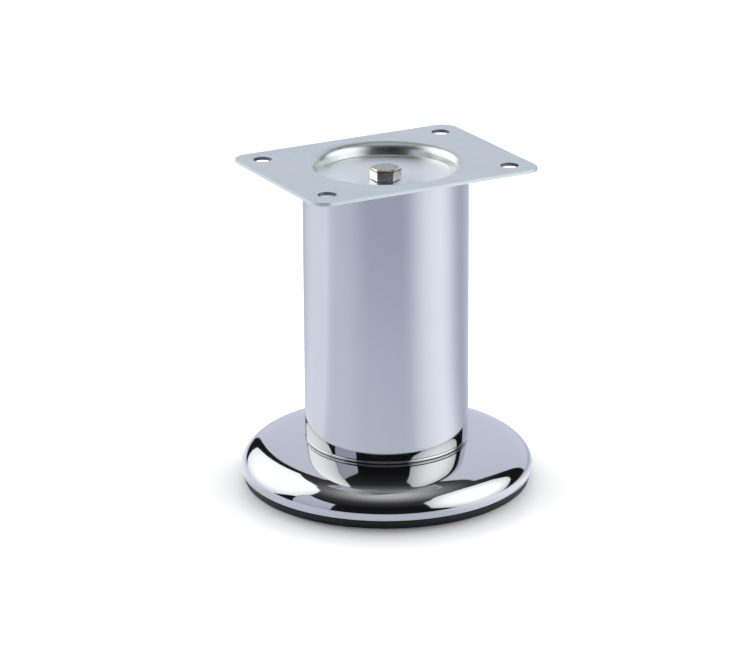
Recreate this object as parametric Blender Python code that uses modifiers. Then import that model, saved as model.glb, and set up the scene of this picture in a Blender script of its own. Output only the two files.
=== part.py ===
"""Adjustable furniture leg: mounting plate, chrome tube, end ring and a domed chrome foot on an M10 spindle.

Metres, +Z up. The origin is on the floor, on the tube's axis, and the plate's long side runs along X.
"""

import math

import bmesh
import bpy
from mathutils import Matrix, Vector

# Driving dimensions
TOTAL_HEIGHT = 0.120
TUBE_RADIUS = 0.030
TUBE_WALL = 0.001
SHEET = 0.0012
GAP = 0.0003

PLATE_LENGTH = 0.091
PLATE_WIDTH = 0.0685
PLATE_CORNER = 0.006
HOLE_SPACING_X = 0.0735
HOLE_SPACING_Y = 0.050
HOLE_RADIUS = 0.00325

DISH_RADIUS = 0.0272
DISH_FLOOR_RADIUS = 0.0250
DISH_WALL_DEPTH = 0.0047
DISH_CENTRE_DEPTH = 0.0062
SEAT_RADIUS = 0.008

TIE_RADIUS = 0.003
TIE_FLATS = 0.0098
TIE_HEAD = 0.0042
TIE_END_Z = 0.0492
TIE_NUT_HEIGHT = 0.005

SPINDLE_RADIUS = 0.0049
SPINDLE_FLATS = 0.017
SPINDLE_HEAD = 0.0064
SPINDLE_TOP_Z = 0.0455
SPINDLE_NUT_HEIGHT = 0.008
LOCK_NUT_HEIGHT = 0.005
WASHER_RADIUS = 0.016
WASHER_HEIGHT = 0.002

COLLAR_TOP_Z = 0.0164
COLLAR_BOTTOM_Z = 0.0157
COLLAR_EDGE = 0.0004
COLLAR_BORE = 0.0240
COLLAR_SPIGOT = 0.006
COLLAR_RECESS = 0.0024

SHELL_WALL = 0.0014
SHELL_TOP_Z = 0.0157
SHELL_SEAT_RADIUS = 0.0180
DOME_RADIUS = 0.0299
DOME_Z = 0.01538
DOME_LENGTH = 0.02851
DOME_TILT = math.radians(4.5)
DOME_POWER = 3.13
DOME_STATIONS = 22
SHELL_LIP_Z = 0.0030
SHELL_LIP_RADIUS = 0.0533

RING_RADIUS = 0.0526
RING_BORE = 0.0440
RING_TONGUE_OUTER = 0.0514
RING_TONGUE_INNER = 0.0494
RING_TONGUE_TOP_Z = 0.0052

INSERT_FLANGE_RADIUS = 0.0271
INSERT_FLANGE = 0.0017
INSERT_CORE_RADIUS = 0.0130
INSERT_RIB_RADIUS = 0.0236
INSERT_RIB_WIDTH = 0.0026
INSERT_RIBS = 6
INSERT_TOP_Z = 0.0615
INSERT_RECESS_RADIUS = 0.0108
INSERT_RECESS_TOP_Z = 0.0224
SPINDLE_NUT_Z = 0.0240
SPINDLE_BORE_TOP_Z = 0.0470
TIE_NUT_Z = 0.0520

ROUND_STEPS = 64
SMALL_STEPS = 32
SMOOTH_ANGLE = math.radians(28)
MERGE = 0.00001


def clear_scene():
    for obj in list(bpy.data.objects):
        bpy.data.objects.remove(obj, do_unlink=True)


def new_collection(name):
    collection = bpy.data.collections.new(name)
    bpy.context.scene.collection.children.link(collection)
    return collection


def material(name, color, metallic, roughness):
    mat = bpy.data.materials.new(name)
    mat.use_nodes = True
    shader = mat.node_tree.nodes["Principled BSDF"]
    shader.inputs["Base Color"].default_value = (*color, 1.0)
    shader.inputs["Metallic"].default_value = metallic
    shader.inputs["Roughness"].default_value = roughness
    return mat


def object_from_bmesh(name, bm, collection, mat=None):
    mesh = bpy.data.meshes.new(name)
    bm.to_mesh(mesh)
    bm.free()
    obj = bpy.data.objects.new(name, mesh)
    collection.objects.link(obj)
    if mat:
        mesh.materials.append(mat)
    return obj


def arc(centre_r, centre_z, run, rise, start, end, count):
    """Points on a quarter or part of an ellipse, angles in degrees from outward to up."""
    points = []
    for i in range(count + 1):
        angle = math.radians(start + (end - start) * i / count)
        points.append((centre_r + run * math.cos(angle), centre_z + rise * math.sin(angle)))
    return points


def turned(name, profile, closed, collection, mat=None, steps=ROUND_STEPS):
    """A profile of (radius, height) points turned about Z; its outer side runs top to bottom."""
    bm = bmesh.new()
    verts = [bm.verts.new((radius, 0.0, height)) for radius, height in profile]
    for first, second in zip(verts, verts[1:]):
        bm.edges.new((first, second))
    if closed:
        bm.edges.new((verts[-1], verts[0]))
    obj = object_from_bmesh(name, bm, collection, mat)
    screw = obj.modifiers.new("turn", "SCREW")
    screw.axis = "Z"
    screw.steps = steps
    screw.render_steps = steps
    screw.use_merge_vertices = True
    screw.merge_threshold = MERGE
    return obj


def boolean(obj, cutter, operation):
    modifier = obj.modifiers.new(cutter.name, "BOOLEAN")
    modifier.operation = operation
    modifier.solver = "EXACT"
    modifier.object = cutter


def hide_cutters(collection):
    for cutter in collection.objects:
        cutter.hide_render = True
        cutter.display_type = "WIRE"


def cylinder(name, radius, bottom, top, collection, steps=SMALL_STEPS, place=(0.0, 0.0)):
    bm = bmesh.new()
    bmesh.ops.create_cone(
        bm, cap_ends=True, segments=steps, radius1=radius, radius2=radius, depth=top - bottom
    )
    bmesh.ops.translate(bm, verts=bm.verts, vec=Vector((*place, (bottom + top) / 2)))
    return object_from_bmesh(name, bm, collection)


def hex_prism(name, flats, bottom, top, collection, mat=None):
    radius = flats / 2 / math.cos(math.pi / 6)
    bm = bmesh.new()
    bmesh.ops.create_cone(
        bm, cap_ends=True, segments=6, radius1=radius, radius2=radius, depth=top - bottom
    )
    bmesh.ops.translate(bm, verts=bm.verts, vec=Vector((0, 0, (bottom + top) / 2)))
    return object_from_bmesh(name, bm, collection, mat)


def chamfer_body(name, flats, bottom, top, both_ends, collection):
    """The turned body that a hexagon is cut back to, so that its corners slope at 30 degrees."""
    corner = flats / 2 / math.cos(math.pi / 6)
    face = flats * 0.475
    drop = (corner - face) * math.tan(math.radians(30))
    outer = corner + 0.0005
    outer_drop = (outer - face) * math.tan(math.radians(30))
    profile = [(0.0, top), (face, top), (outer, top - outer_drop)]
    if both_ends:
        profile += [(outer, bottom + outer_drop), (face, bottom), (0.0, bottom)]
    else:
        profile += [(outer, bottom - drop), (0.0, bottom - drop)]
    return turned(name, profile, False, collection)


def build_plate(parts, cutters, mat):
    top = TOTAL_HEIGHT
    under = top - SHEET
    half_x = PLATE_LENGTH / 2 - PLATE_CORNER
    half_y = PLATE_WIDTH / 2 - PLATE_CORNER
    curve = bpy.data.curves.new("plate_outline", "CURVE")
    curve.dimensions = "2D"
    curve.fill_mode = "BOTH"
    curve.extrude = SHEET / 2
    spline = curve.splines.new("POLY")
    corners = ((half_x, half_y, 0), (-half_x, half_y, 90), (-half_x, -half_y, 180), (half_x, -half_y, 270))
    points = []
    for x, y, start in corners:
        for px, py in arc(x, y, PLATE_CORNER, PLATE_CORNER, start, start + 90, 8):
            points.append((px, py, 0.0, 1.0))
    spline.points.add(len(points) - 1)
    for point, place in zip(spline.points, points):
        point.co = place
    spline.use_cyclic_u = True
    outline = bpy.data.objects.new("plate_outline", curve)
    outline.location = (0.0, 0.0, top - SHEET / 2)
    cutters.objects.link(outline)
    bpy.context.view_layer.update()
    evaluated = outline.evaluated_get(bpy.context.evaluated_depsgraph_get())
    mesh = bpy.data.meshes.new_from_object(evaluated)
    bm = bmesh.new()
    bm.from_mesh(mesh)
    bmesh.ops.remove_doubles(bm, verts=bm.verts, dist=MERGE)
    bmesh.ops.recalc_face_normals(bm, faces=bm.faces)
    bm.to_mesh(mesh)
    bm.free()
    mesh.materials.clear()
    mesh.materials.append(mat)
    plate = bpy.data.objects.new("mounting_plate", mesh)
    plate.matrix_world = outline.matrix_world
    parts.objects.link(plate)
    bpy.data.objects.remove(outline, do_unlink=True)

    wall_z = top - DISH_WALL_DEPTH
    seat_z = top - DISH_CENTRE_DEPTH
    above = 0.001
    rim = arc(DISH_RADIUS + 0.0012, top - 0.0012, -0.0012, 0.0012, 75, 12, 3)
    foot = arc(DISH_FLOOR_RADIUS - 0.0010, wall_z + 0.0010, 0.0010, -0.0010, 12, 78, 3)
    inside = [(0.0, top + above), (rim[0][0] + above, top + above)]
    inside += rim + foot + [(SEAT_RADIUS, seat_z), (0.0, seat_z)]
    hollow = turned("dish_hollow", inside, False, cutters)

    skin = SHEET
    outside = [(0.0, under + skin / 2), (DISH_RADIUS + skin, under + skin / 2)]
    outside += arc(DISH_FLOOR_RADIUS - 0.0010, wall_z + 0.0010, 0.0010 + skin, -0.0010 - skin, 8, 80, 4)
    outside += [(SEAT_RADIUS, seat_z - skin), (0.0, seat_z - skin)]
    bowl = turned("dish_bowl", outside, False, cutters)
    boolean(plate, bowl, "UNION")
    boolean(plate, hollow, "DIFFERENCE")

    for sign_x in (-1, 1):
        for sign_y in (-1, 1):
            place = (sign_x * HOLE_SPACING_X / 2, sign_y * HOLE_SPACING_Y / 2)
            label = f"screw_hole_{'r' if sign_x > 0 else 'l'}{'b' if sign_y > 0 else 'f'}"
            hole = cylinder(label, HOLE_RADIUS, under - above, top + above, cutters, place=place)
            boolean(plate, hole, "DIFFERENCE")
    bolt_hole = cylinder("bolt_hole", TIE_RADIUS + GAP, seat_z - 0.004, seat_z + above, cutters)
    boolean(plate, bolt_hole, "DIFFERENCE")
    return plate


def build_tube(parts, mat):
    top = TOTAL_HEIGHT - SHEET - GAP
    bottom = COLLAR_TOP_Z + GAP
    inner = TUBE_RADIUS - TUBE_WALL
    profile = [(inner, top), (TUBE_RADIUS, top), (TUBE_RADIUS, bottom), (inner, bottom)]
    return turned("leg_tube", profile, True, parts, mat)


def build_collar(parts, mat):
    spigot_radius = TUBE_RADIUS - TUBE_WALL - GAP
    recess_radius = INSERT_FLANGE_RADIUS + GAP
    profile = [(COLLAR_BORE, COLLAR_TOP_Z + COLLAR_SPIGOT), (spigot_radius, COLLAR_TOP_Z + COLLAR_SPIGOT)]
    profile += [(spigot_radius, COLLAR_TOP_Z), (TUBE_RADIUS, COLLAR_TOP_Z)]
    edge = arc(TUBE_RADIUS - COLLAR_EDGE, COLLAR_BOTTOM_Z + COLLAR_EDGE, COLLAR_EDGE, COLLAR_EDGE, 0, -90, 5)
    profile += edge
    profile += [(recess_radius, COLLAR_BOTTOM_Z), (recess_radius, COLLAR_BOTTOM_Z + COLLAR_RECESS)]
    profile += [(COLLAR_BORE, COLLAR_BOTTOM_Z + COLLAR_RECESS)]
    return turned("end_collar", profile, True, parts, mat)


def build_insert(parts, cutters, mat):
    bottom = COLLAR_BOTTOM_Z + COLLAR_RECESS - GAP - INSERT_FLANGE
    flange_top = bottom + INSERT_FLANGE
    bore = SPINDLE_RADIUS + GAP
    tie_bore = TIE_RADIUS + GAP
    profile = [(tie_bore, INSERT_TOP_Z), (INSERT_CORE_RADIUS, INSERT_TOP_Z)]
    profile += [(INSERT_CORE_RADIUS, flange_top), (INSERT_FLANGE_RADIUS, flange_top)]
    profile += [(INSERT_FLANGE_RADIUS, bottom), (INSERT_RECESS_RADIUS, bottom)]
    profile += [(INSERT_RECESS_RADIUS, INSERT_RECESS_TOP_Z), (bore, INSERT_RECESS_TOP_Z)]
    profile += [(bore, SPINDLE_BORE_TOP_Z), (tie_bore, SPINDLE_BORE_TOP_Z)]
    insert = turned("end_insert", profile, True, parts, mat, steps=48)
    rib_bottom = flange_top - INSERT_FLANGE / 2
    for index in range(INSERT_RIBS):
        bm = bmesh.new()
        bmesh.ops.create_cube(bm, size=1.0)
        reach = INSERT_RIB_RADIUS - INSERT_CORE_RADIUS * 0.9
        size = (reach, INSERT_RIB_WIDTH, INSERT_TOP_Z - 0.002 - rib_bottom)
        bmesh.ops.scale(bm, verts=bm.verts, vec=Vector(size))
        centre = Vector((INSERT_RIB_RADIUS - reach / 2, 0, rib_bottom + size[2] / 2))
        bmesh.ops.translate(bm, verts=bm.verts, vec=centre)
        turn = Matrix.Rotation(math.tau * (index + 0.5) / INSERT_RIBS, 3, "Z")
        bmesh.ops.rotate(bm, verts=bm.verts, matrix=turn)
        boolean(insert, object_from_bmesh(f"insert_rib_{index + 1}", bm, cutters), "UNION")
    spindle_pocket = hex_prism(
        "spindle_nut_pocket", SPINDLE_FLATS + 2 * GAP, SPINDLE_NUT_Z - GAP,
        SPINDLE_NUT_Z + SPINDLE_NUT_HEIGHT + GAP, cutters,
    )
    tie_pocket = hex_prism(
        "tie_nut_pocket", TIE_FLATS + 2 * GAP, TIE_NUT_Z - GAP, TIE_NUT_Z + TIE_NUT_HEIGHT + GAP, cutters
    )
    boolean(insert, spindle_pocket, "DIFFERENCE")
    boolean(insert, tie_pocket, "DIFFERENCE")
    return insert


def build_nut(name, flats, bore, bottom, height, parts, cutters, mat):
    nut = hex_prism(name, flats, bottom, bottom + height, parts, mat)
    boolean(nut, chamfer_body(f"{name}_chamfer", flats, bottom, bottom + height, True, cutters), "INTERSECT")
    hole = cylinder(f"{name}_bore", bore + GAP, bottom - 0.001, bottom + height + 0.001, cutters)
    boolean(nut, hole, "DIFFERENCE")
    return nut


def build_tie_bolt(parts, cutters, mat):
    seat = TOTAL_HEIGHT - DISH_CENTRE_DEPTH + GAP
    top = seat + TIE_HEAD
    head = hex_prism("tie_bolt", TIE_FLATS, seat, top, parts, mat)
    boolean(head, chamfer_body("tie_head_chamfer", TIE_FLATS, seat, top, False, cutters), "INTERSECT")
    tip = 0.0008
    shank = turned(
        "tie_shank",
        [(0.0, seat + 0.001), (TIE_RADIUS, seat + 0.001), (TIE_RADIUS, TIE_END_Z + tip),
         (TIE_RADIUS - tip, TIE_END_Z), (0.0, TIE_END_Z)],
        False, cutters, steps=SMALL_STEPS,
    )
    boolean(head, shank, "UNION")
    return head


def build_spindle(parts, cutters, mat):
    head_top = SHELL_TOP_Z - SHELL_WALL - GAP - WASHER_HEIGHT - GAP
    head_bottom = head_top - SPINDLE_HEAD
    spindle = hex_prism("spindle", SPINDLE_FLATS, head_bottom, head_top, parts, mat)
    chamfer = chamfer_body("spindle_head_chamfer", SPINDLE_FLATS, head_bottom, head_top, True, cutters)
    boolean(spindle, chamfer, "INTERSECT")
    tip = 0.0012
    shank = turned(
        "spindle_shank",
        [(0.0, SPINDLE_TOP_Z), (SPINDLE_RADIUS - tip, SPINDLE_TOP_Z), (SPINDLE_RADIUS, SPINDLE_TOP_Z - tip),
         (SPINDLE_RADIUS, head_top - 0.001), (0.0, head_top - 0.001)],
        False, cutters, steps=SMALL_STEPS,
    )
    boolean(spindle, shank, "UNION")
    return spindle


def dome_curve(stations):
    """Points on the dome from its flat middle to its widest edge.

    The surface tips from almost level to upright along the curve, slowly first and quickest at the edge.
    """
    fine = 16
    count = stations * fine
    step = DOME_LENGTH / count
    radius, height = DOME_RADIUS, DOME_Z
    points = [(radius, height)]
    for index in range(count):
        along = (index + 0.5) / count
        tilt = DOME_TILT + (math.pi / 2 - DOME_TILT) * along ** DOME_POWER
        radius += math.cos(tilt) * step
        height -= math.sin(tilt) * step
        if (index + 1) % fine == 0:
            points.append((radius, height))
    return points


def shell_outline():
    """The outer side of the pressed foot, from the spindle hole out and down to the lip."""
    points = [(SPINDLE_RADIUS + GAP, SHELL_TOP_Z), (SHELL_SEAT_RADIUS, SHELL_TOP_Z)]
    points += dome_curve(DOME_STATIONS)
    points.append((SHELL_LIP_RADIUS, SHELL_LIP_Z))
    return points


def build_foot_shell(parts, mat):
    shell = turned("foot_shell", shell_outline(), False, parts, mat)
    wall = shell.modifiers.new("wall", "SOLIDIFY")
    wall.thickness = SHELL_WALL
    wall.offset = -1.0
    wall.use_even_offset = True
    return shell


def build_washer(parts, mat):
    top = SHELL_TOP_Z - SHELL_WALL - GAP
    bottom = top - WASHER_HEIGHT
    bore = SPINDLE_RADIUS + GAP
    edge = 0.0003
    profile = [(bore, top), (WASHER_RADIUS - edge, top), (WASHER_RADIUS, top - edge)]
    profile += [(WASHER_RADIUS, bottom + edge), (WASHER_RADIUS - edge, bottom), (bore, bottom)]
    return turned("backing_washer", profile, True, parts, mat, steps=48)


def build_floor_ring(parts, mat):
    top = SHELL_LIP_Z - GAP
    edge = 0.0005
    profile = [(RING_TONGUE_INNER, RING_TONGUE_TOP_Z), (RING_TONGUE_OUTER, RING_TONGUE_TOP_Z)]
    profile += [(RING_TONGUE_OUTER, top), (RING_RADIUS, top)]
    profile += [(RING_RADIUS, edge), (RING_RADIUS - edge, 0.0), (RING_BORE, 0.0)]
    profile += [(RING_BORE, top), (RING_TONGUE_INNER, top)]
    return turned("floor_ring", profile, True, parts, mat)


def bake(obj):
    """Turns an object's modifiers into its mesh and shades its round faces smooth."""
    evaluated = obj.evaluated_get(bpy.context.evaluated_depsgraph_get())
    mesh = bpy.data.meshes.new_from_object(evaluated)
    mesh.name = obj.name
    obj.modifiers.clear()
    obj.data = mesh
    mesh.shade_smooth()
    mesh.set_sharp_from_angle(angle=SMOOTH_ANGLE)


def hang_on(body, name, collection, objects):
    """Parents a moving group to an empty on its joint's axis."""
    empty = bpy.data.objects.new(name, None)
    collection.objects.link(empty)
    for name_of_piece in body:
        objects[name_of_piece].parent = empty


def main():
    clear_scene()
    parts = new_collection("furniture_leg")
    cutters = new_collection("cutters")
    zinc = material("zinc_plate", (0.66, 0.69, 0.72), 1.0, 0.35)
    yellow_zinc = material("yellow_zinc", (0.72, 0.66, 0.42), 1.0, 0.3)
    chrome = material("polished_chrome", (0.80, 0.82, 0.85), 1.0, 0.05)
    steel = material("plain_steel", (0.55, 0.56, 0.58), 1.0, 0.35)
    nylon = material("black_nylon", (0.03, 0.03, 0.035), 0.0, 0.5)

    build_plate(parts, cutters, zinc)
    build_tie_bolt(parts, cutters, yellow_zinc)
    build_tube(parts, chrome)
    build_collar(parts, chrome)
    build_insert(parts, cutters, nylon)
    build_nut("tie_nut", TIE_FLATS, TIE_RADIUS, TIE_NUT_Z, TIE_NUT_HEIGHT, parts, cutters, steel)
    build_nut(
        "spindle_nut", SPINDLE_FLATS, SPINDLE_RADIUS, SPINDLE_NUT_Z, SPINDLE_NUT_HEIGHT, parts, cutters, steel
    )
    build_spindle(parts, cutters, steel)
    build_nut(
        "lock_nut", SPINDLE_FLATS, SPINDLE_RADIUS, SHELL_TOP_Z + GAP, LOCK_NUT_HEIGHT, parts, cutters, steel
    )
    build_washer(parts, steel)
    build_foot_shell(parts, chrome)
    build_floor_ring(parts, nylon)

    bpy.context.view_layer.update()
    pieces = {obj.name: obj for obj in parts.objects}
    for piece in pieces.values():
        bake(piece)
    hide_cutters(cutters)
    leg = ("mounting_plate", "tie_bolt", "tie_nut", "leg_tube", "end_collar", "end_insert", "spindle_nut")
    foot = ("foot_shell", "spindle", "lock_nut", "backing_washer")
    hang_on(leg, "leg_slide_axis", parts, pieces)
    hang_on(foot, "foot_turn_axis", parts, pieces)


main()
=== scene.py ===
"""Looks of the adjustable furniture leg: turned chrome, a pressed zinc plate, real threads and a studio.

Metres, +Z up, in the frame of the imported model.
"""

import math

import bmesh
import bpy
from mathutils import Matrix, Vector
from mathutils.geometry import delaunay_2d_cdt

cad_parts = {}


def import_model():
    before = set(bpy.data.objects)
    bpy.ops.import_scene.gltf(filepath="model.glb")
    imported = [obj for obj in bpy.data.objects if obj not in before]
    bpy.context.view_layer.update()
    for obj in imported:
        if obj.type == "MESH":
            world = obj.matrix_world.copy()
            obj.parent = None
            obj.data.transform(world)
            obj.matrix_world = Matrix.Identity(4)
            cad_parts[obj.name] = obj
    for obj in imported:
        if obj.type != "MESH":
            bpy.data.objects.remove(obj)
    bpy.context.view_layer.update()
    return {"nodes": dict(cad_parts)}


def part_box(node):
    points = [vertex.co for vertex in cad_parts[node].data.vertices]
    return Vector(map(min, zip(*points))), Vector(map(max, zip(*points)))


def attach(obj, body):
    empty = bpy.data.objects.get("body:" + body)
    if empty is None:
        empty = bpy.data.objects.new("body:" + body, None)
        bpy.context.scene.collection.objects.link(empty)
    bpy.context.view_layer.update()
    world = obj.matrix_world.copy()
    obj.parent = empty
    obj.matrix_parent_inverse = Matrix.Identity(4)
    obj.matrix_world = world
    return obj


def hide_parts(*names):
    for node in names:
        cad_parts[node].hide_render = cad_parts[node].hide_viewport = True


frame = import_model()

PHOTO_AZIMUTH = math.radians(-28.6)
PHOTO_ELEVATION = math.radians(19.06)
CAMERA_DISTANCE = 1.2
CAMERA_LENS = 158.2
CAMERA_TARGET = Vector((0.0, 0.0, 0.062))
AIM_LEFT = 0.0041
AIM_DOWN = 0.0066
CAMERA_ROLL = math.radians(-0.29)

ROUND_STEPS = 256
DISH_STEPS = 192
HOLE_STEPS = 48
THREAD_STEPS = 72
THREAD_ROWS = 12
SMOOTH_ANGLE = math.radians(30)

# The foot
SHELL_WALL = 0.0014
SHELL_SEAT_RADIUS = 0.0180
DOME_RADIUS = 0.0299
DOME_Z = 0.01538
DOME_LENGTH = 0.02851
DOME_TILT = math.radians(4.5)
DOME_POWER = 3.13
LIP_RADIUS = 0.0533
SPINDLE_HOLE = 0.0052
SPINDLE_RADIUS = 0.0049
SPINDLE_FLATS = 0.017
SPINDLE_HEAD = 0.0064
SPINDLE_PITCH = 0.0015
SPINDLE_PLAIN = 0.004

# The leg
TUBE_WALL = 0.001
BUFFED = 0.004
TIE_RADIUS = 0.003
TIE_FLATS = 0.0098
TIE_HEAD = 0.0042
TIE_PITCH = 0.001
TIE_PLAIN = 0.040
PLATE_SHEET = 0.0012
PLATE_CORNER = 0.006
HOLE_RADIUS = 0.00325
HOLE_SPACING = (0.0735, 0.050)
DISH_RIM_RADIUS = 0.0287
DISH_RIM_ROUND = 0.0036
DISH_SLOPE = 74
DISH_WALL_DEPTH = 0.0045
DISH_FLOOR_ROUND = 0.0004
DISH_SEAT_DEPTH = 0.0062
DISH_SEAT_RADIUS = 0.008
BOLT_HOLE_RADIUS = 0.0033


# Mesh helpers

def arc(centre_r, centre_z, run, rise, start, end, count):
    """Points on part of an ellipse; angles in degrees, from outward to up."""
    points = []
    for i in range(count + 1):
        angle = math.radians(start + (end - start) * i / count)
        points.append((centre_r + run * math.cos(angle), centre_z + rise * math.sin(angle)))
    return points


def finish_mesh(name, bm, smooth_angle=SMOOTH_ANGLE):
    mesh = bpy.data.meshes.new(name)
    bmesh.ops.recalc_face_normals(bm, faces=bm.faces)
    bm.to_mesh(mesh)
    bm.free()
    mesh.shade_smooth()
    mesh.set_sharp_from_angle(angle=smooth_angle)
    obj = bpy.data.objects.new(name, mesh)
    bpy.context.scene.collection.objects.link(obj)
    return obj


def circle(bm, radius, height, steps, centre=(0.0, 0.0)):
    """A ring of vertices, level, round an upright axis."""
    ring = []
    for i in range(steps):
        angle = math.tau * i / steps
        x = centre[0] + radius * math.cos(angle)
        y = centre[1] + radius * math.sin(angle)
        ring.append(bm.verts.new((x, y, height)))
    return ring


def skin(bm, upper, lower):
    """Faces between two rings of equally many vertices."""
    for i in range(len(upper)):
        j = (i + 1) % len(upper)
        bm.faces.new((upper[i], lower[i], lower[j], upper[j]))


def turned(name, profile, smooth_angle):
    """A closed profile of (radius, height) points turned about Z."""
    bm = bmesh.new()
    rings = [circle(bm, radius, height, ROUND_STEPS) for radius, height in profile]
    for upper, lower in zip(rings, rings[1:] + rings[:1]):
        skin(bm, upper, lower)
    return finish_mesh(name, bm, math.radians(smooth_angle))


def bake_modifiers(obj, smooth_angle):
    evaluated = obj.evaluated_get(bpy.context.evaluated_depsgraph_get())
    mesh = bpy.data.meshes.new_from_object(evaluated)
    obj.modifiers.clear()
    obj.data = mesh
    mesh.shade_smooth()
    mesh.set_sharp_from_angle(angle=smooth_angle)


def paint(obj, mat):
    obj.data.materials.clear()
    obj.data.materials.append(mat)


def place_piece(obj, body, mat, cad_node):
    """Gives a piece its material and its body, and hides the CAD node that it stands for."""
    paint(obj, mat)
    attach(obj, body)
    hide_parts(cad_node)


# Materials

def new_material(name):
    mat = bpy.data.materials.new(name)
    mat.use_nodes = True
    return mat, mat.node_tree.nodes, mat.node_tree.links


def node(nodes, kind, **values):
    made = nodes.new(kind)
    for key, value in values.items():
        if key.startswith("in_"):
            made.inputs[key[3:].replace("_", " ")].default_value = value
        else:
            setattr(made, key, value)
    return made


def object_noise(nodes, links, scale, detail, stretch=(1.0, 1.0, 1.0), roughness=0.5):
    """Noise in object coordinates, in metres; stretch squeezes it along an axis."""
    coords = node(nodes, "ShaderNodeTexCoord")
    mapping = node(nodes, "ShaderNodeMapping")
    mapping.inputs["Scale"].default_value = stretch
    noise = node(nodes, "ShaderNodeTexNoise", in_Scale=scale, in_Detail=detail, in_Roughness=roughness)
    links.new(coords.outputs["Object"], mapping.inputs["Vector"])
    links.new(mapping.outputs["Vector"], noise.inputs["Vector"])
    return noise


def ramp(nodes, links, source, stops):
    """A colour ramp; stops are (position, colour)."""
    made = node(nodes, "ShaderNodeValToRGB")
    elements = made.color_ramp.elements
    while len(elements) < len(stops):
        elements.new(0.5)
    for element, (position, color) in zip(elements, stops):
        element.position = position
        element.color = (*color, 1.0)
    links.new(source, made.inputs["Fac"])
    return made


def spread(nodes, links, source, low, high, to_low, to_high):
    made = node(nodes, "ShaderNodeMapRange")
    made.inputs["From Min"].default_value = low
    made.inputs["From Max"].default_value = high
    made.inputs["To Min"].default_value = to_low
    made.inputs["To Max"].default_value = to_high
    links.new(source, made.inputs["Value"])
    return made


def bump(nodes, links, height, distance, strength, normal=None):
    made = node(nodes, "ShaderNodeBump", in_Strength=strength, in_Distance=distance)
    links.new(height, made.inputs["Height"])
    if normal:
        links.new(normal, made.inputs["Normal"])
    return made


def polished_chrome():
    """Mirror chrome over pressed steel: a faint long waviness, a haze and a fine grain."""
    mat, nodes, links = new_material("polished_chrome_look")
    shader = nodes["Principled BSDF"]
    shader.inputs["Metallic"].default_value = 1.0
    tone = object_noise(nodes, links, 35.0, 3.0)
    color = ramp(nodes, links, tone.outputs["Fac"], [(0.3, (0.59, 0.59, 0.60)), (0.7, (0.61, 0.61, 0.615))])
    links.new(color.outputs["Color"], shader.inputs["Base Color"])
    haze = object_noise(nodes, links, 120.0, 6.0)
    rough = spread(nodes, links, haze.outputs["Fac"], 0.3, 0.75, 0.035, 0.075)
    links.new(rough.outputs["Result"], shader.inputs["Roughness"])
    waviness = object_noise(nodes, links, 60.0, 1.0)
    fine = object_noise(nodes, links, 900.0, 2.0)
    waves = bump(nodes, links, waviness.outputs["Fac"], 0.00006, 0.6)
    grain = bump(nodes, links, fine.outputs["Fac"], 0.000002, 0.5, waves.outputs["Normal"])
    links.new(grain.outputs["Normal"], shader.inputs["Normal"])
    return mat


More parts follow.
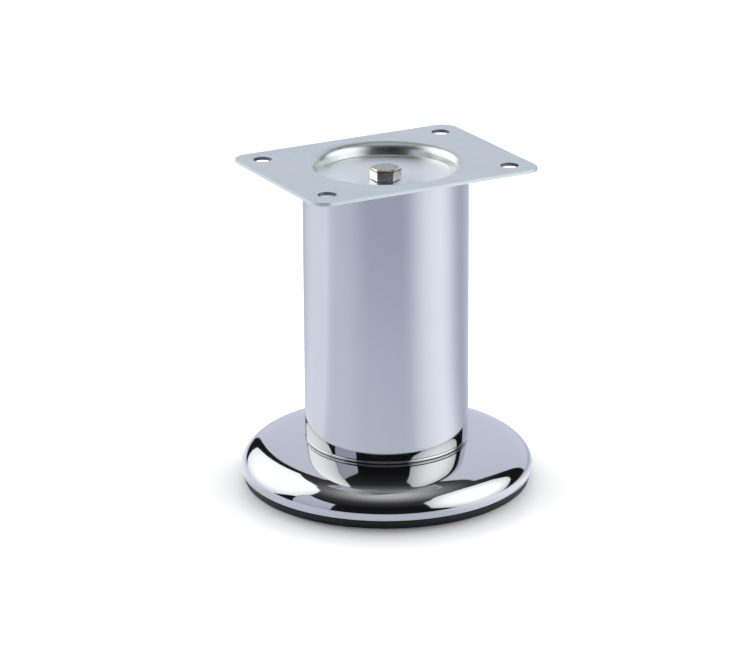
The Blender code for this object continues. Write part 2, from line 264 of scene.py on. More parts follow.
def zinc_plate():
    """Bright zinc on rolled steel: mottled, lighter on the floor of the pressed dish, with a painted dark
    reflection in the screw holes.
    """
    mat, nodes, links = new_material("zinc_plate_look")
    shader = nodes["Principled BSDF"]
    shader.inputs["Metallic"].default_value = 1.0
    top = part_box("mounting_plate")[1].z
    dish_floor = top - DISH_WALL_DEPTH
    coords = node(nodes, "ShaderNodeTexCoord")
    split = node(nodes, "ShaderNodeSeparateXYZ")
    links.new(coords.outputs["Object"], split.inputs["Vector"])
    rim = spread(nodes, links, split.outputs["Z"], top - 0.0014, top - 0.0003, 1.0, 0.0)
    foot = spread(nodes, links, split.outputs["Z"], dish_floor + 0.00004, dish_floor, 0.0, 1.0)
    wall = node(nodes, "ShaderNodeMath", operation="SUBTRACT", use_clamp=True)
    links.new(rim.outputs["Result"], wall.inputs[0])
    links.new(foot.outputs["Result"], wall.inputs[1])

    tint = object_noise(nodes, links, 55.0, 5.0, roughness=0.6)
    sheet = ramp(
        nodes, links, tint.outputs["Fac"],
        [(0.25, (0.60, 0.66, 0.65)), (0.5, (0.64, 0.68, 0.66)), (0.75, (0.68, 0.69, 0.67))],
    )
    pressed = ramp(
        nodes, links, tint.outputs["Fac"],
        [(0.3, (0.80, 0.83, 0.82)), (0.7, (0.86, 0.88, 0.86))],
    )
    color = node(nodes, "ShaderNodeMix", data_type="RGBA")
    links.new(foot.outputs["Result"], color.inputs["Factor"])
    links.new(sheet.outputs["Color"], color.inputs["A"])
    links.new(pressed.outputs["Color"], color.inputs["B"])

    # Painted reflection: the walls of the four screw holes get a dark colour that stands in for the dark
    # room they mirror.
    folded = node(nodes, "ShaderNodeVectorMath", operation="ABSOLUTE")
    links.new(coords.outputs["Object"], folded.inputs[0])
    flat = node(nodes, "ShaderNodeVectorMath", operation="MULTIPLY")
    links.new(folded.outputs["Vector"], flat.inputs[0])
    flat.inputs[1].default_value = (1.0, 1.0, 0.0)
    away = node(nodes, "ShaderNodeVectorMath", operation="DISTANCE")
    links.new(flat.outputs["Vector"], away.inputs[0])
    away.inputs[1].default_value = (HOLE_SPACING[0] / 2, HOLE_SPACING[1] / 2, 0.0)
    hole_wall_painted_reflection = spread(
        nodes, links, away.outputs["Value"],
        HOLE_RADIUS + 0.00005, HOLE_RADIUS + 0.0002, 1.0, 0.0,
    )
    with_painted_hole_reflection = node(nodes, "ShaderNodeMix", data_type="RGBA")
    links.new(hole_wall_painted_reflection.outputs["Result"], with_painted_hole_reflection.inputs["Factor"])
    links.new(color.outputs["Result"], with_painted_hole_reflection.inputs["A"])
    with_painted_hole_reflection.inputs["B"].default_value = (0.16, 0.17, 0.18, 1.0)
    links.new(with_painted_hole_reflection.outputs["Result"], shader.inputs["Base Color"])

    cloud = object_noise(nodes, links, 220.0, 6.0, roughness=0.65)
    matt = spread(nodes, links, cloud.outputs["Fac"], 0.3, 0.7, 0.28, 0.40)
    shine = spread(nodes, links, cloud.outputs["Fac"], 0.3, 0.7, 0.26, 0.33)
    rough = node(nodes, "ShaderNodeMix", data_type="FLOAT")
    links.new(wall.outputs["Value"], rough.inputs["Factor"])
    links.new(matt.outputs["Result"], rough.inputs["A"])
    links.new(shine.outputs["Result"], rough.inputs["B"])
    links.new(rough.outputs["Result"], shader.inputs["Roughness"])

    rolled = object_noise(nodes, links, 900.0, 3.0, (0.04, 1.0, 1.0))
    grain = object_noise(nodes, links, 2600.0, 3.0)
    lines = bump(nodes, links, rolled.outputs["Fac"], 0.00001, 0.35)
    spots = bump(nodes, links, grain.outputs["Fac"], 0.00001, 0.35, lines.outputs["Normal"])
    links.new(spots.outputs["Normal"], shader.inputs["Normal"])
    return mat


def yellow_zinc():
    """Yellow zinc: bright flats, a gold rim at the chamfer, and painted dark reflections under it and on the
    brown top face.
    """
    mat, nodes, links = new_material("yellow_zinc_look")
    shader = nodes["Principled BSDF"]
    shader.inputs["Metallic"].default_value = 1.0
    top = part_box("tie_bolt")[1].z
    coords = node(nodes, "ShaderNodeTexCoord")
    split = node(nodes, "ShaderNodeSeparateXYZ")
    links.new(coords.outputs["Object"], split.inputs["Vector"])
    height = spread(nodes, links, split.outputs["Z"], top - 0.0015, top, 0.0, 1.0)
    # Painted reflection: the dark band just under the chamfer and the darkened top face stand in for the
    # dark room they mirror.
    plating_and_painted_reflection = ramp(
        nodes, links, height.outputs["Result"],
        [(0.0, (0.84, 0.86, 0.86)), (0.30, (0.84, 0.86, 0.86)), (0.42, (0.10, 0.09, 0.08)),
         (0.54, (0.12, 0.10, 0.07)), (0.64, (0.88, 0.82, 0.55)), (0.95, (0.86, 0.80, 0.60)),
         (0.985, (0.42, 0.39, 0.34)), (1.0, (0.42, 0.39, 0.34))],
    )
    cloud = object_noise(nodes, links, 500.0, 4.0)
    stain = ramp(nodes, links, cloud.outputs["Fac"], [(0.3, (0.72, 0.72, 0.70)), (0.65, (1.0, 1.0, 1.0))])
    mix = node(nodes, "ShaderNodeMix", data_type="RGBA", blend_type="MULTIPLY")
    mix.inputs["Factor"].default_value = 1.0
    links.new(plating_and_painted_reflection.outputs["Color"], mix.inputs["A"])
    links.new(stain.outputs["Color"], mix.inputs["B"])
    links.new(mix.outputs["Result"], shader.inputs["Base Color"])
    rough = spread(nodes, links, cloud.outputs["Fac"], 0.3, 0.7, 0.12, 0.24)
    links.new(rough.outputs["Result"], shader.inputs["Roughness"])
    grain = object_noise(nodes, links, 1800.0, 3.0)
    spots = bump(nodes, links, grain.outputs["Fac"], 0.00001, 0.4)
    links.new(spots.outputs["Normal"], shader.inputs["Normal"])
    return mat


def bright_steel():
    """Plain fastener steel: turned grain and darker patches of oil film."""
    mat, nodes, links = new_material("bright_steel_look")
    shader = nodes["Principled BSDF"]
    shader.inputs["Metallic"].default_value = 1.0
    film = object_noise(nodes, links, 180.0, 5.0)
    color = ramp(nodes, links, film.outputs["Fac"], [(0.3, (0.46, 0.47, 0.49)), (0.7, (0.62, 0.63, 0.64))])
    links.new(color.outputs["Color"], shader.inputs["Base Color"])
    rough = spread(nodes, links, film.outputs["Fac"], 0.3, 0.7, 0.38, 0.22)
    links.new(rough.outputs["Result"], shader.inputs["Roughness"])
    grain = object_noise(nodes, links, 2200.0, 2.0, (1.0, 1.0, 4.0))
    lines = bump(nodes, links, grain.outputs["Fac"], 0.00001, 0.4)
    links.new(lines.outputs["Normal"], shader.inputs["Normal"])
    return mat


def black_plastic():
    """Moulded black plastic with a spark-eroded grain and slightly dusty patches."""
    mat, nodes, links = new_material("black_plastic_look")
    shader = nodes["Principled BSDF"]
    dust = object_noise(nodes, links, 260.0, 6.0, roughness=0.7)
    color = ramp(
        nodes, links, dust.outputs["Fac"],
        [(0.3, (0.004, 0.004, 0.005)), (0.6, (0.007, 0.007, 0.009)), (0.8, (0.016, 0.016, 0.018))],
    )
    links.new(color.outputs["Color"], shader.inputs["Base Color"])
    rough = spread(nodes, links, dust.outputs["Fac"], 0.3, 0.7, 0.42, 0.6)
    links.new(rough.outputs["Result"], shader.inputs["Roughness"])
    grain = object_noise(nodes, links, 2400.0, 3.0)
    pits = bump(nodes, links, grain.outputs["Fac"], 0.00003, 0.5)
    links.new(pits.outputs["Normal"], shader.inputs["Normal"])
    return mat


# Pieces of the foot

def dome_curve(stations):
    """Points on the dome from its level middle to its widest edge, tipping over slowly and then quickly."""
    fine = 8
    count = stations * fine
    step = DOME_LENGTH / count
    radius, height = DOME_RADIUS, DOME_Z
    points = [(radius, height)]
    for index in range(count):
        along = (index + 0.5) / count
        tilt = DOME_TILT + (math.pi / 2 - DOME_TILT) * along ** DOME_POWER
        radius += math.cos(tilt) * step
        height -= math.sin(tilt) * step
        if (index + 1) % fine == 0:
            points.append((radius, height))
    return points


def offset_profile(profile, distance):
    """The profile moved inward by a wall's thickness, square to its local direction."""
    moved = []
    for i, (radius, height) in enumerate(profile):
        before = profile[max(i - 1, 0)]
        after = profile[min(i + 1, len(profile) - 1)]
        along = Vector((after[0] - before[0], after[1] - before[1])).normalized()
        moved.append((radius + along.y * distance, height - along.x * distance))
    return moved


def foot_dome():
    low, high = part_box("foot_shell")
    outside = [(SPINDLE_HOLE, high.z), (SHELL_SEAT_RADIUS, high.z)]
    outside += [(0.0220, high.z - 0.00004), (0.0260, high.z - 0.00015)]
    outside += dome_curve(96)
    edge_r, edge_z = outside[-1]
    outside += [(edge_r - 0.00006, edge_z - 0.0004), (LIP_RADIUS + 0.00015, low.z + 0.0003)]
    outside += [(LIP_RADIUS - 0.0001, low.z)]
    inside = offset_profile(outside, SHELL_WALL)
    inside[0] = (SPINDLE_HOLE, inside[0][1])
    inside[-1] = (inside[-1][0], low.z)
    return turned("foot_dome", outside + inside[::-1], 25)


def ring_pad():
    low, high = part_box("floor_ring")
    edge = 0.0005
    base_top = 0.0027
    bore, tongue_in, tongue_out = 0.0440, 0.0494, 0.0514
    profile = [(tongue_in, high.z), (tongue_out, high.z), (tongue_out, base_top)]
    profile += [(high.x - 0.0002, base_top), (high.x, base_top - 0.0002)]
    profile += arc(high.x - edge, low.z + edge, edge, edge, 0, -90, 5)
    profile += [(0.0500, low.z), (0.0498, low.z + 0.0004), (0.0466, low.z + 0.0004), (0.0464, low.z)]
    profile += [(bore + 0.0003, low.z), (bore, low.z + 0.0003), (bore, base_top), (tongue_in, base_top)]
    return turned("ring_pad", profile, 35)


# Pieces of the leg

def tube_skin():
    low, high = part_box("leg_tube")
    outer = high.x
    inner = outer - TUBE_WALL
    edge = 0.00025
    profile = [(inner, high.z - edge), (inner + edge, high.z)]
    profile += arc(outer - edge, high.z - edge, edge, edge, 90, 0, 4)
    profile += [(outer, high.z - edge - 0.0002), (outer, (low.z + high.z) / 2), (outer, low.z + BUFFED)]
    profile += [(outer - 0.00002, low.z + BUFFED / 2), (outer - 0.00006, low.z + 0.0004)]
    profile += [(outer - 0.00008, low.z + 0.0001), (inner + edge, low.z), (inner, low.z + edge)]
    return turned("tube_skin", profile, 50)


def collar_ring():
    """The thin end ring: its rounded rim is all that shows between the tube and the foot."""
    low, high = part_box("end_collar")
    outer = high.x
    bore = 0.0240
    recess_radius, recess = 0.0274, 0.0024
    spigot = 0.0287
    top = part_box("leg_tube")[0].z - 0.0001
    bottom = low.z - 0.0002
    rim = (top - bottom) / 2
    profile = [(bore, high.z - 0.0004), (bore + 0.0004, high.z)]
    profile += [(spigot - 0.0006, high.z), (spigot, high.z - 0.0008), (spigot, top)]
    profile += arc(outer - rim, bottom + rim, rim, rim, 90, -90, 24)
    profile += [(recess_radius, low.z), (recess_radius, low.z + recess), (bore, low.z + recess)]
    return turned("collar_ring", profile, 35)


def hex_radius(angle, flats):
    """Distance from the axis to a hexagon's side at an angle; flats face the angles 30, 90 ... degrees."""
    within = (angle % (math.pi / 3)) - math.pi / 6
    return flats / 2 / math.cos(within)


def hex_head(bm, flats, face_z, under_z, turn):
    """A hexagon's head, chamfered round its outer face; gives the ring of vertices at its other end."""
    face = flats * 0.475
    slope = math.tan(math.radians(30))
    rings = []
    for kind in ("face", "edge", "side"):
        ring = []
        for i in range(THREAD_STEPS):
            angle = math.tau * i / THREAD_STEPS
            side = hex_radius(angle, flats)
            if kind == "face":
                radius, z = face, face_z
            elif kind == "edge":
                radius, z = side, face_z + math.copysign((side - face) * slope, under_z - face_z)
            else:
                radius, z = side, under_z
            place = (radius * math.cos(angle + turn), radius * math.sin(angle + turn), z)
            ring.append(bm.verts.new(place))
        rings.append(ring)
    cap(bm, rings[0], face_z)
    for upper, lower in zip(rings, rings[1:]):
        skin(bm, upper, lower)
    return rings[-1]


def threaded_rings(bm, radius, depth, pitch, bottom, top):
    """Rings of vertices that follow a right-hand helical thread, fading out at both ends."""
    rings = []
    count = int((top - bottom) / pitch * THREAD_ROWS)
    for row in range(count + 1):
        height = top - (top - bottom) * row / count
        ring = []
        for i in range(THREAD_STEPS):
            angle = math.tau * i / THREAD_STEPS
            phase = ((height - pitch * angle / math.tau) / pitch) % 1.0
            groove = min(1.0, max(0.0, 1.35 * (1.0 - abs(2.0 * phase - 1.0)) - 0.1))
            ends = min(1.0, (top - height) / pitch + 0.15, (height - bottom) / pitch)
            point = radius - depth * groove * max(0.0, ends)
            point -= depth * 1.1 * max(0.0, 1.0 - (top - height) / (depth * 1.4))
            ring.append(bm.verts.new((point * math.cos(angle), point * math.sin(angle), height)))
        rings.append(ring)
    return rings


def cap(bm, ring, height):
    centre = bm.verts.new((0.0, 0.0, height))
    for i, vert in enumerate(ring):
        bm.faces.new((centre, vert, ring[(i + 1) % len(ring)]))


def headed_screw(name, head, shank, turn):
    """A hex screw in one mesh. head is (flats, face height, height under the head); shank is
    (radius, end height, pitch, plain length under the head). The head may be above or below."""
    flats, face_z, under_z = head
    radius, end_z, pitch, plain = shank
    depth = pitch * 0.55
    bm = bmesh.new()
    under = hex_head(bm, flats, face_z, under_z, turn)
    if face_z > end_z:
        start_z = under_z - plain
        thread = threaded_rings(bm, radius, depth, pitch, end_z, start_z)
        thread.reverse()
        for ring in thread:
            for vert in ring:
                vert.co.z = end_z + start_z - vert.co.z
                vert.co.y = -vert.co.y
            ring.reverse()
    else:
        thread = threaded_rings(bm, radius, depth, pitch, under_z + plain, end_z)
        thread.reverse()
    neck = []
    for vert in thread[0]:
        reach = Vector((vert.co.x, vert.co.y, 0.0)).normalized() * radius
        neck.append(bm.verts.new((reach.x, reach.y, under_z)))
    offset = nearest_shift(under, neck)
    skin(bm, under, neck[offset:] + neck[:offset])
    skin(bm, neck, thread[0])
    for upper, lower in zip(thread, thread[1:]):
        skin(bm, upper, lower)
    cap(bm, thread[-1], sum(vert.co.z for vert in thread[-1]) / THREAD_STEPS)
    return finish_mesh(name, bm, math.radians(28))


def nearest_shift(ring, other):
    """How many places to turn one ring so that it starts beside the first vertex of the other."""
    first = ring[0].co
    aim = math.atan2(first.y, first.x)
    gaps = []
    for index, vert in enumerate(other):
        gap = abs((math.atan2(vert.co.y, vert.co.x) - aim + math.pi) % math.tau - math.pi)
        gaps.append((gap, index))
    return min(gaps)[1]


def dish_profile(top):
    """The pressed dish from the flat sheet to the bolt's hole: a soft rim, a steep wall and a low floor."""
    slope = math.radians(DISH_SLOPE)
    wall_z, seat_z = top - DISH_WALL_DEPTH, top - DISH_SEAT_DEPTH
    rounds = DISH_RIM_ROUND + DISH_FLOOR_ROUND
    straight = top - wall_z - rounds * (1 - math.cos(slope))
    floor_radius = DISH_RIM_RADIUS - (rounds * math.sin(slope) + straight / math.tan(slope))
    rim_z, round_z = top - DISH_RIM_ROUND, wall_z + DISH_FLOOR_ROUND
    profile = [(DISH_RIM_RADIUS + 0.0006, top), (DISH_RIM_RADIUS + 0.0002, top)]
    profile += arc(DISH_RIM_RADIUS, rim_z, DISH_RIM_ROUND, DISH_RIM_ROUND, 90, 90 + DISH_SLOPE, 24)
    profile += arc(floor_radius, round_z, DISH_FLOOR_ROUND, DISH_FLOOR_ROUND, DISH_SLOPE - 90, -90, 8)
    profile += [(floor_radius - 0.0002, wall_z), (floor_radius - 0.003, wall_z - 0.0002)]
    profile += [(DISH_SEAT_RADIUS + 0.002, seat_z + 0.00018), (DISH_SEAT_RADIUS, seat_z)]
    profile += [(BOLT_HOLE_RADIUS + 0.0012, seat_z), (BOLT_HOLE_RADIUS, seat_z)]
    return profile


def plate_outline(bm, half_x, half_y, top):
    """Vertices round the plate, counter-clockwise from the right back corner, close together all the way."""
    x, y = half_x - PLATE_CORNER, half_y - PLATE_CORNER
    bends = []
    for centre_x, centre_y, start in ((x, y, 0), (-x, y, 90), (-x, -y, 180), (x, -y, 270)):
        bends.append(arc(centre_x, centre_y, PLATE_CORNER, PLATE_CORNER, start, start + 90, 24))
    outline = []
    for bend, following in zip(bends, bends[1:] + bends[:1]):
        side = [lerp(bend[-1], following[0], i / 18) for i in range(1, 18)]
        outline += [bm.verts.new((*place, top)) for place in bend + side]
    return outline


def plate_sheet():
    """The mounting plate: one pressed sheet with a round dish, a bolt hole and four screw holes."""
    low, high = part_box("mounting_plate")
    top = high.z
    bm = bmesh.new()
    rings = [circle(bm, radius, height, DISH_STEPS) for radius, height in dish_profile(top)]
    for upper, lower in zip(rings, rings[1:]):
        skin(bm, upper, lower)
    outline = plate_outline(bm, high.x, high.y, top)
    holes = [(Vector((0.0, 0.0)), DISH_RIM_RADIUS + 0.0006, rings[0])]
    for sign_x in (-1, 1):
        for sign_y in (-1, 1):
            centre = Vector((sign_x * HOLE_SPACING[0] / 2, sign_y * HOLE_SPACING[1] / 2))
            holes.append((centre, HOLE_RADIUS * 0.99, circle(bm, HOLE_RADIUS, top, HOLE_STEPS, centre)))
    fill_flat(bm, outline, holes)

    obj = finish_mesh("plate_sheet", bm)
    solid = obj.modifiers.new("sheet", "SOLIDIFY")
    solid.thickness = PLATE_SHEET
    solid.offset = -1.0
    solid.use_even_offset = False
    edges = obj.modifiers.new("edges", "BEVEL")
    edges.width = 0.00022
    edges.segments = 3
    edges.limit_method = "ANGLE"
    edges.angle_limit = math.radians(60)
    edges.harden_normals = False
    flat = obj.modifiers.new("flat_faces", "WEIGHTED_NORMAL")
    flat.keep_sharp = True
    bake_modifiers(obj, math.radians(24))
    return obj


def lerp(a, b, along):
    return (a[0] + (b[0] - a[0]) * along, a[1] + (b[1] - a[1]) * along)


def fill_flat(bm, outline, holes, spacing=0.003):
    """Even triangles between an outline and the round holes inside it; holes are (centre, radius, loop)."""
    verts = list(outline)
    edges = [(i, (i + 1) % len(outline)) for i in range(len(outline))]
    for centre, radius, loop in holes:
        start = len(verts)
        edges += [(start + i, start + (i + 1) % len(loop)) for i in range(len(loop))]
        verts += loop
    border = [Vector((vert.co.x, vert.co.y)) for vert in outline]
    half_x = max(point.x for point in border)
    half_y = max(point.y for point in border)
    across = round(2 * half_x / spacing)
    along = round(2 * half_y / spacing)
    for i in range(1, across):
        for j in range(1, along):
            place = Vector((half_x * (2 * i / across - 1), half_y * (2 * j / along - 1)))
            clear = in_outline(place * 1.03, border)
            for centre, radius, loop in holes:
                clear = clear and (place - centre).length > radius + spacing * 0.4
            if clear:
                verts.append(bm.verts.new((place.x, place.y, outline[0].co.z)))
    points = [Vector((vert.co.x, vert.co.y)) for vert in verts]
    for corners in delaunay_2d_cdt(points, edges, [], 0, 1e-9)[2]:
        middle = sum((points[c] for c in corners), Vector((0.0, 0.0))) / len(corners)
        keep = in_outline(middle, border)
        for centre, radius, loop in holes:
            keep = keep and (middle - centre).length > radius * 0.9998
        if keep:
            bm.faces.new([verts[c] for c in corners])


def in_outline(point, outline):
    """Whether a line from the point to the right crosses the outline an odd number of times."""
    inside = False
    for a, b in zip(outline, outline[1:] + outline[:1]):
        if (a.y > point.y) != (b.y > point.y):
            if point.x < a.x + (b.x - a.x) * (point.y - a.y) / (b.y - a.y):
                inside = not inside
    return inside


# Studio
#
# The outlines and levels in studio(), sky() and floor_tones() were typed from tones that a scratch program
# read out of the photo's own reflections, and some were then adjusted by comparing the render with the
# photo. They aren't an independent studio design, which is an open fault.

def between(table, at):
    """The value at a place in a table of (place, value), straight between its rows."""
    if at <= table[0][0]:
        return table[0][1]
    for (a, first), (b, second) in zip(table, table[1:]):
        if at <= b:
            return first + (second - first) * (at - a) / (b - a)
    return table[-1][1]


def toward(azimuth, distance, height):
    """A point of the studio; azimuth in degrees, to the right from the camera's side."""
    angle = PHOTO_AZIMUTH + math.radians(azimuth)
    return Vector((math.sin(angle) * distance, -math.cos(angle) * distance, height))


def glow_sheet(name, rows):
    """A glowing sheet that only mirrors show; rows are equally long lists of (place, colour)."""
    bm = bmesh.new()
    layer = bm.verts.layers.float_color.new("glow")
    grid = []
    for row in rows:
        line = []
        for place, color in row:
            vert = bm.verts.new(place)
            vert[layer] = (*color, 1.0)
            line.append(vert)
        grid.append(line)
    for first, second in zip(grid, grid[1:]):
        for i in range(len(first) - 1):
            bm.faces.new((first[i], first[i + 1], second[i + 1], second[i]))
    mesh = bpy.data.meshes.new(name)
    bm.to_mesh(mesh)
    bm.free()
    obj = bpy.data.objects.new(name, mesh)
    bpy.context.scene.collection.objects.link(obj)
    mat, nodes, links = new_material(name)
    nodes.clear()
    out = node(nodes, "ShaderNodeOutputMaterial")
    glow = node(nodes, "ShaderNodeEmission", in_Strength=1.0)
    tones = node(nodes, "ShaderNodeAttribute", attribute_name="glow")
    links.new(tones.outputs["Color"], glow.inputs["Color"])
    links.new(glow.outputs["Emission"], out.inputs["Surface"])
    mesh.materials.append(mat)
    obj.visible_camera = False
    obj.visible_diffuse = False
    obj.visible_transmission = False
    obj.visible_shadow = False


def curtain(name, distance, stations, glow, rows=16):
    """A curved upright sheet round the object; stations are (azimuth, lower elevation, upper elevation)."""
    first, last = stations[0][0], stations[-1][0]
    lower = [(station[0], station[1]) for station in stations]
    upper = [(station[0], station[2]) for station in stations]
    count = round((last - first) / 2)
    columns = []
    for i in range(count + 1):
        azimuth = first + (last - first) * i / count
        low, high = between(lower, azimuth), between(upper, azimuth)
        column = []
        for j in range(rows + 1):
            elevation = low + (high - low) * j / rows
            height = distance * math.tan(math.radians(elevation))
            column.append((toward(azimuth, distance, height), glow(azimuth, elevation)))
        columns.append(column)
    glow_sheet(name, columns)


def lilac(level):
    """The cool white of the paper in a mirror, at a brightness."""
    return (level - 0.05, level, level + 0.13)


def softbox_glow(azimuth, elevation, centre, reach, peak, drop):
    """A softbox is brightest in the middle of its cloth."""
    across = (azimuth - centre[0]) / reach[0]
    up = (elevation - centre[1]) / reach[1]
    level = peak - drop * min(1.3, across * across + up * up)
    return (level * 0.985, level, level * 1.01)


def studio():
    curtain(
        "softbox_right", 1.1,
        [(34, 18, 46), (38, 14, 49.5), (45, 9, 53), (50, 3, 56), (55, 0, 59), (65, 0, 61.5),
         (75, 0, 62), (85, 0, 61.5), (95, 0, 60), (100, 2, 58.5), (105, 7, 56.5), (110, 12, 52),
         (115, 17, 47), (118, 26, 41)],
        lambda azimuth, elevation: softbox_glow(azimuth, elevation, (78, 32), (42, 32), 2.0, 1.0),
    )
    curtain(
        "softbox_left", 1.1,
        [(-157, 16, 44), (-152, 10, 48), (-145, 4, 52.5), (-138, 0, 57), (-130, 0, 60), (-115, 0, 61.5),
         (-105, 0, 62), (-95, 0, 60), (-90, 6, 58), (-85, 14, 55.5), (-80, 22, 51), (-77, 25, 47)],
        lambda azimuth, elevation: softbox_glow(azimuth, elevation, (-120, 37), (50, 40), 1.95, 0.9),
    )
    curtain(
        "grey_card", 1.2,
        [(-76.5, 24, 45), (-75, 22, 44), (-74.5, 0, 43.5), (-65, 0, 39.5), (-55, 0, 36), (-45, 0, 33),
         (-42.5, 3, 31)],
        lambda azimuth, elevation: lilac(0.58 + 0.14 * min(1.0, elevation / 25)),
    )
    curtain(
        "backdrop", 1.6,
        [(133, 0, 53), (150, 0, 55), (165, 0, 56), (180, 0, 55), (192, 0, 51), (197, 0, 49)],
        lambda azimuth, elevation: lilac(0.82),
    )
    sky()
    floor_tones()


def sky():
    """The dark room above the cards: black near the horizon, grey at the top."""
    levels = [(0, 0.012), (32, 0.012), (42, 0.028), (52, 0.053), (57, 0.085), (62, 0.17)]
    levels += [(67, 0.26), (72, 0.41), (77, 0.55), (82, 0.68), (90, 0.74)]
    radius = 2.6
    rows = []
    for i in range(46):
        elevation = 90 - 2 * i
        level = between(levels, elevation)
        run = radius * max(0.0005, math.cos(math.radians(elevation)))
        rise = radius * math.sin(math.radians(elevation))
        rows.append([(toward(5 * j, run, rise), (level, level, level * 1.03)) for j in range(73)])
    glow_sheet("dark_room", rows)


def floor_tones():
    """What the chrome mirrors of the floor: lit by the two softboxes, dimmer on the viewer's side."""
    levels = [(-180, 0.84), (-165, 0.68), (-155, 0.64), (-145, 0.74), (-135, 0.89), (-120, 1.02)]
    levels += [(-87, 1.04), (-79, 0.87), (-71, 0.82), (-50, 0.83), (-35, 0.78), (-20, 0.745)]
    levels += [(20, 0.72), (30, 0.76), (40, 0.92), (50, 1.05), (65, 1.20), (78, 1.26), (90, 1.12)]
    levels += [(98, 0.93), (107, 0.75), (117, 0.62), (126, 0.60), (135, 0.64), (150, 0.68), (180, 0.84)]
    dimmer = [(-80, 0.0), (-45, 0.12), (-25, 0.24), (20, 0.24), (35, 0.1), (50, 0.0)]
    rows = []
    for distance in (0.056, 0.075, 0.1, 0.14, 0.19, 0.26, 0.36, 0.5, 0.8, 1.5, 2.6):
        far = between([(0.09, 0.0), (0.36, 1.0)], distance)
        row = []
        for j in range(121):
            azimuth = -180 + 3 * j
            level = between(levels, azimuth) * (1.0 - far * between(dimmer, azimuth))
            row.append((toward(azimuth, distance, 0.0003), lilac(level)))
        rows.append(row)
    glow_sheet("floor_tones", rows)


def floor():
    """White paper, greyer close to the foot and most on the near side, as a soft contact shadow."""
    bm = bmesh.new()
    bmesh.ops.create_circle(bm, cap_ends=True, segments=96, radius=4.0)
    mesh = bpy.data.meshes.new("studio_floor")
    bm.to_mesh(mesh)
    bm.free()
    obj = bpy.data.objects.new("studio_floor", mesh)
    bpy.context.scene.collection.objects.link(obj)
    obj.location.z = -0.0001
    mat, nodes, links = new_material("studio_floor")
    shader = nodes["Principled BSDF"]
    shader.inputs["Roughness"].default_value = 0.75
    shader.inputs["Specular IOR Level"].default_value = 0.0
    coords = node(nodes, "ShaderNodeTexCoord")
    drift = 0.020
    reach = node(nodes, "ShaderNodeVectorMath", operation="DISTANCE")
    links.new(coords.outputs["Object"], reach.inputs[0])
    reach.inputs[1].default_value = toward(0, drift, 0.0)
    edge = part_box("floor_ring")[1].x - drift
    near = spread(nodes, links, reach.outputs["Value"], edge, edge + 0.045, 0.0, 1.0)
    color = ramp(
        nodes, links, near.outputs["Result"],
        [(0.06, (0.36, 0.36, 0.37)), (0.15, (0.52, 0.52, 0.53)), (0.28, (0.69, 0.69, 0.70)),
         (0.5, (0.88, 0.88, 0.885)), (0.8, (0.96, 0.96, 0.96)), (1.0, (0.97, 0.97, 0.97))],
    )
    links.new(color.outputs["Color"], shader.inputs["Base Color"])
    mesh.materials.append(mat)


def soft_light(name, azimuth, distance, height, size, glow):
    """A large soft lamp that lights the floor; the chrome mirrors the glowing sheets instead."""
    data = bpy.data.lights.new(name, "AREA")
    data.shape = "SQUARE"
    data.size = size
    data.energy = glow * math.pi * size * size
    obj = bpy.data.objects.new(name, data)
    bpy.context.scene.collection.objects.link(obj)
    obj.location = toward(azimuth, distance, height)
    obj.rotation_euler = (Vector((0.0, 0.0, 0.0)) - obj.location).to_track_quat("-Z", "Y").to_euler()
    obj.visible_glossy = False
    obj.visible_camera = False


def lamps():
    soft_light("lamp_right", 96, 1.3, 0.9, 1.8, 3.1)
    soft_light("lamp_left", -98, 1.3, 0.9, 1.8, 3.1)
    soft_light("lamp_back", 178, 1.6, 1.2, 1.8, 1.6)
    soft_light("lamp_top", 0, 0.2, 2.3, 1.6, 1.3)


def world():
    scene_world = bpy.data.worlds.new("studio_world")
    scene_world.use_nodes = True
    background = scene_world.node_tree.nodes["Background"]
    background.inputs["Color"].default_value = (1.0, 1.0, 1.0, 1.0)
    background.inputs["Strength"].default_value = 1.05
    scene_world.cycles_visibility.glossy = False
    scene_world.cycles_visibility.diffuse = False
    bpy.context.scene.world = scene_world


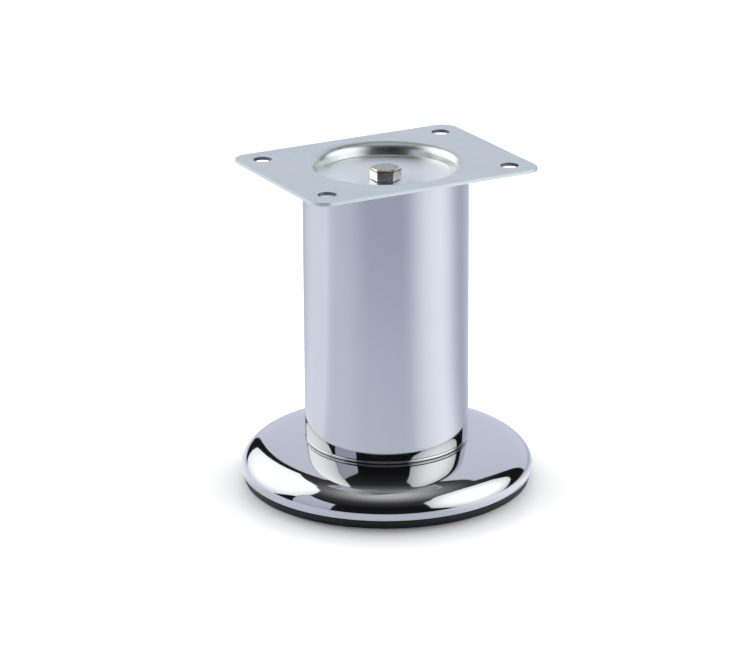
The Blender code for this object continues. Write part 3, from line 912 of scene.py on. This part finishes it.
def camera():
    data = bpy.data.cameras.new("photo_camera")
    data.lens = CAMERA_LENS
    data.sensor_width = 36.0
    data.clip_start = 0.05
    data.clip_end = 20.0
    obj = bpy.data.objects.new("photo_camera", data)
    bpy.context.scene.collection.objects.link(obj)
    back = Vector((
        math.sin(PHOTO_AZIMUTH) * math.cos(PHOTO_ELEVATION),
        -math.cos(PHOTO_AZIMUTH) * math.cos(PHOTO_ELEVATION),
        math.sin(PHOTO_ELEVATION),
    ))
    right = Vector((math.cos(PHOTO_AZIMUTH), math.sin(PHOTO_AZIMUTH), 0.0))
    up = back.cross(right)
    obj.location = CAMERA_TARGET + back * CAMERA_DISTANCE
    aim = CAMERA_TARGET - right * AIM_LEFT - up * AIM_DOWN
    look = (aim - obj.location).to_track_quat("-Z", "Y")
    roll = Matrix.Rotation(CAMERA_ROLL, 4, "Z")
    obj.rotation_euler = (look.to_matrix().to_4x4() @ roll).to_euler()
    bpy.context.scene.camera = obj


def main():
    chrome = polished_chrome()
    zinc = zinc_plate()
    gold = yellow_zinc()
    steel = bright_steel()
    plastic = black_plastic()

    place_piece(plate_sheet(), "leg", zinc, "mounting_plate")
    place_piece(tube_skin(), "leg", chrome, "leg_tube")
    place_piece(collar_ring(), "leg", chrome, "end_collar")
    low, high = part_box("tie_bolt")
    bolt = headed_screw(
        "tie_bolt_detail", (TIE_FLATS, high.z, high.z - TIE_HEAD), (TIE_RADIUS, low.z, TIE_PITCH, TIE_PLAIN),
        PHOTO_AZIMUTH - math.radians(2),
    )
    place_piece(bolt, "leg", gold, "tie_bolt")

    place_piece(foot_dome(), "foot", chrome, "foot_shell")
    low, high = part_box("spindle")
    spindle = headed_screw(
        "spindle_thread", (SPINDLE_FLATS, low.z, low.z + SPINDLE_HEAD),
        (SPINDLE_RADIUS, high.z, SPINDLE_PITCH, SPINDLE_PLAIN), 0.0,
    )
    place_piece(spindle, "foot", steel, "spindle")
    place_piece(ring_pad(), "glide", plastic, "floor_ring")

    for name in ("tie_nut", "spindle_nut", "lock_nut", "backing_washer"):
        paint(frame["nodes"][name], steel)
    paint(frame["nodes"]["end_insert"], plastic)

    floor()
    studio()
    lamps()
    world()
    camera()
    bpy.context.scene.view_settings.view_transform = "Standard"


main()
